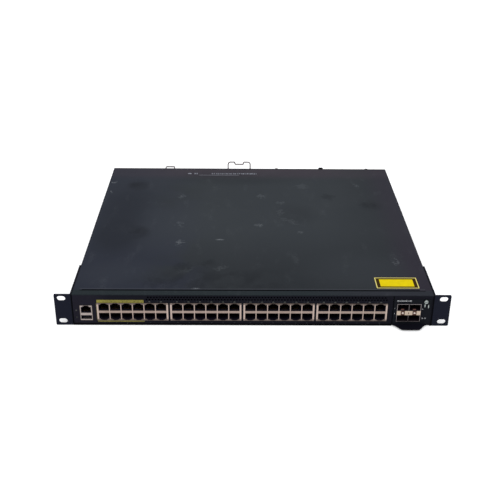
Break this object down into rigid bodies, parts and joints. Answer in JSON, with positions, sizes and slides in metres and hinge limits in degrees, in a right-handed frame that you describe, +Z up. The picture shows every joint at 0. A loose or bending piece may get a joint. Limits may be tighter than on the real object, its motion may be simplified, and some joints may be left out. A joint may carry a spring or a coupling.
{
  "type": "rackmount network switch",
  "caption": "One-unit rackmount network switch with stacked jacks, a slide-out uplink module, power supply and fan tray.",
  "frame": {"origin": "centre of the case's underside, midway between the front and rear panels", "axes": "+X to the right seen from the front, along the ears; +Y to the rear; +Z up"},
  "size_m": [0.4826, 0.4409, 0.0496],
  "materials": {
    "case_paint": "charcoal powder coat, satin, scratched",
    "panel_paint": "near-black powder coat, satin",
    "screw_steel": "dark zinc plate",
    "plated_shield": "nickel plate, warm",
    "black_plastic": "moulded, matte",
    "contact_gold": "gold plate",
    "light_pipe": "clear moulding, unlit",
    "board_green": "solder mask",
    "chip_black": "moulded",
    "sink_metal": "extruded, plain",
    "zinc_sheet": "zinc plate, plain",
    "wire_steel": "drawn wire, plated",
    "bright_screw": "turned, nickel plate",
    "winding": "tape over copper",
    "capacitor_sleeve": "shrunk sleeve",
    "latch_plastic": "moulded",
    "plug_plastic": "moulded",
    "tag_yellow": "printed film, blank"
  },
  "bodies": {
    "chassis": {"base_tray": "case_paint", "top_cover": "case_paint", "front_panel": "panel_paint", "rear_panel": "case_paint", "rack_ear_left": "panel_paint", "rack_ear_right": "panel_paint", "ear_screws": "screw_steel", "cover_screws": "screw_steel", "jack_shields": "plated_shield", "jack_housing_1": "black_plastic", "jack_housing_2": "black_plastic", "jack_housing_3": "black_plastic", "jack_housing_4": "black_plastic", "jack_contacts": "contact_gold", "port_lights": "light_pipe", "mgmt_shield": "plated_shield", "mgmt_housing": "black_plastic", "reset_switch": "black_plastic", "main_board": "board_green", "board_posts": "sink_metal", "board_screws": "screw_steel", "switch_chip": "chip_black", "switch_heatsink": "sink_metal", "line_chips": "chip_black", "line_heatsinks": "sink_metal", "power_sockets": "black_plastic", "module_socket": "black_plastic", "module_guide": "zinc_sheet", "bay_walls": "zinc_sheet", "fan_socket": "black_plastic", "cover_tag": "tag_yellow"},
    "reset_key": {"reset_button": "black_plastic"},
    "uplink_module": {"module_tray": "panel_paint", "module_faceplate": "panel_paint", "module_board": "board_green", "sfp_cage": "plated_shield", "sfp_sockets": "black_plastic", "cage_light_pipes": "light_pipe"},
    "uplink_screw": {"module_screw": "bright_screw"},
    "power_supply": {"psu_case": "zinc_sheet", "psu_lid": "zinc_sheet", "psu_inlet": "black_plastic", "psu_inlet_pins": "bright_screw", "psu_board": "board_green", "psu_transformer": "winding", "psu_capacitors": "capacitor_sleeve", "psu_fan_frame": "black_plastic"},
    "supply_fan": {"psu_fan_rotor": "black_plastic"},
    "cord_bail": {"psu_bail": "wire_steel"},
    "supply_latch": {"psu_latch": "latch_plastic"},
    "spare_filler": {"bay_filler": "case_paint", "filler_handle": "wire_steel"},
    "fan_drawer": {"fan_tray": "case_paint", "fan_plug": "plug_plastic", "tray_handle": "black_plastic", "fan_frames": "black_plastic"},
    "left_fan": {"fan_rotor_left": "black_plastic"},
    "right_fan": {"fan_rotor_right": "black_plastic"},
    "left_thumbscrew": {"tray_screw_left": "bright_screw"},
    "right_thumbscrew": {"tray_screw_right": "bright_screw"}
  },
  "joints": [
    {"name": "uplink_slide", "type": "slide", "parent": "chassis", "child": "uplink_module", "axis": [0, -1, 0], "range_m": [0, 0.13]},
    {"name": "uplink_screw_turn", "type": "hinge", "parent": "uplink_module", "child": "uplink_screw", "pos_m": [0.2107, -0.2, 0.0352], "axis": [0, 1, 0], "continuous": true},
    {"name": "supply_slide", "type": "slide", "parent": "chassis", "child": "power_supply", "axis": [0, 1, 0], "range_m": [0, 0.19]},
    {"name": "supply_fan_spin", "type": "hinge", "parent": "power_supply", "child": "supply_fan", "pos_m": [-0.0565, 0.1861, 0.0212], "axis": [0, 1, 0], "continuous": true},
    {"name": "bail_swing", "type": "hinge", "parent": "power_supply", "child": "cord_bail", "pos_m": [-0.0177, 0.2053, 0.0214], "axis": [1, 0, 0], "range_deg": [-105, 18]},
    {"name": "latch_press", "type": "slide", "parent": "power_supply", "child": "supply_latch", "axis": [-1, 0, 0], "range_m": [0, 0.003], "stiffness_N_per_m": 400},
    {"name": "filler_slide", "type": "slide", "parent": "chassis", "child": "spare_filler", "axis": [0, 1, 0], "range_m": [0, 0.06]},
    {"name": "tray_slide", "type": "slide", "parent": "chassis", "child": "fan_drawer", "axis": [0, 1, 0], "range_m": [0, 0.06]},
    {"name": "left_fan_spin", "type": "hinge", "parent": "fan_drawer", "child": "left_fan", "pos_m": [0.0701, 0.1861, 0.0214], "axis": [0, 1, 0], "continuous": true},
    {"name": "right_fan_spin", "type": "hinge", "parent": "fan_drawer", "child": "right_fan", "pos_m": [0.1639, 0.1861, 0.0214], "axis": [0, 1, 0], "continuous": true},
    {"name": "left_thumbscrew_turn", "type": "hinge", "parent": "fan_drawer", "child": "left_thumbscrew", "pos_m": [0.0433, 0.2013, 0.0345], "axis": [0, 1, 0], "continuous": true},
    {"name": "right_thumbscrew_turn", "type": "hinge", "parent": "fan_drawer", "child": "right_thumbscrew", "pos_m": [0.1907, 0.2013, 0.0345], "axis": [0, 1, 0], "continuous": true},
    {"name": "reset_press", "type": "slide", "parent": "chassis", "child": "reset_key", "axis": [0, 1, 0], "range_m": [0, 0.0008], "stiffness_N_per_m": 500}
  ]
}
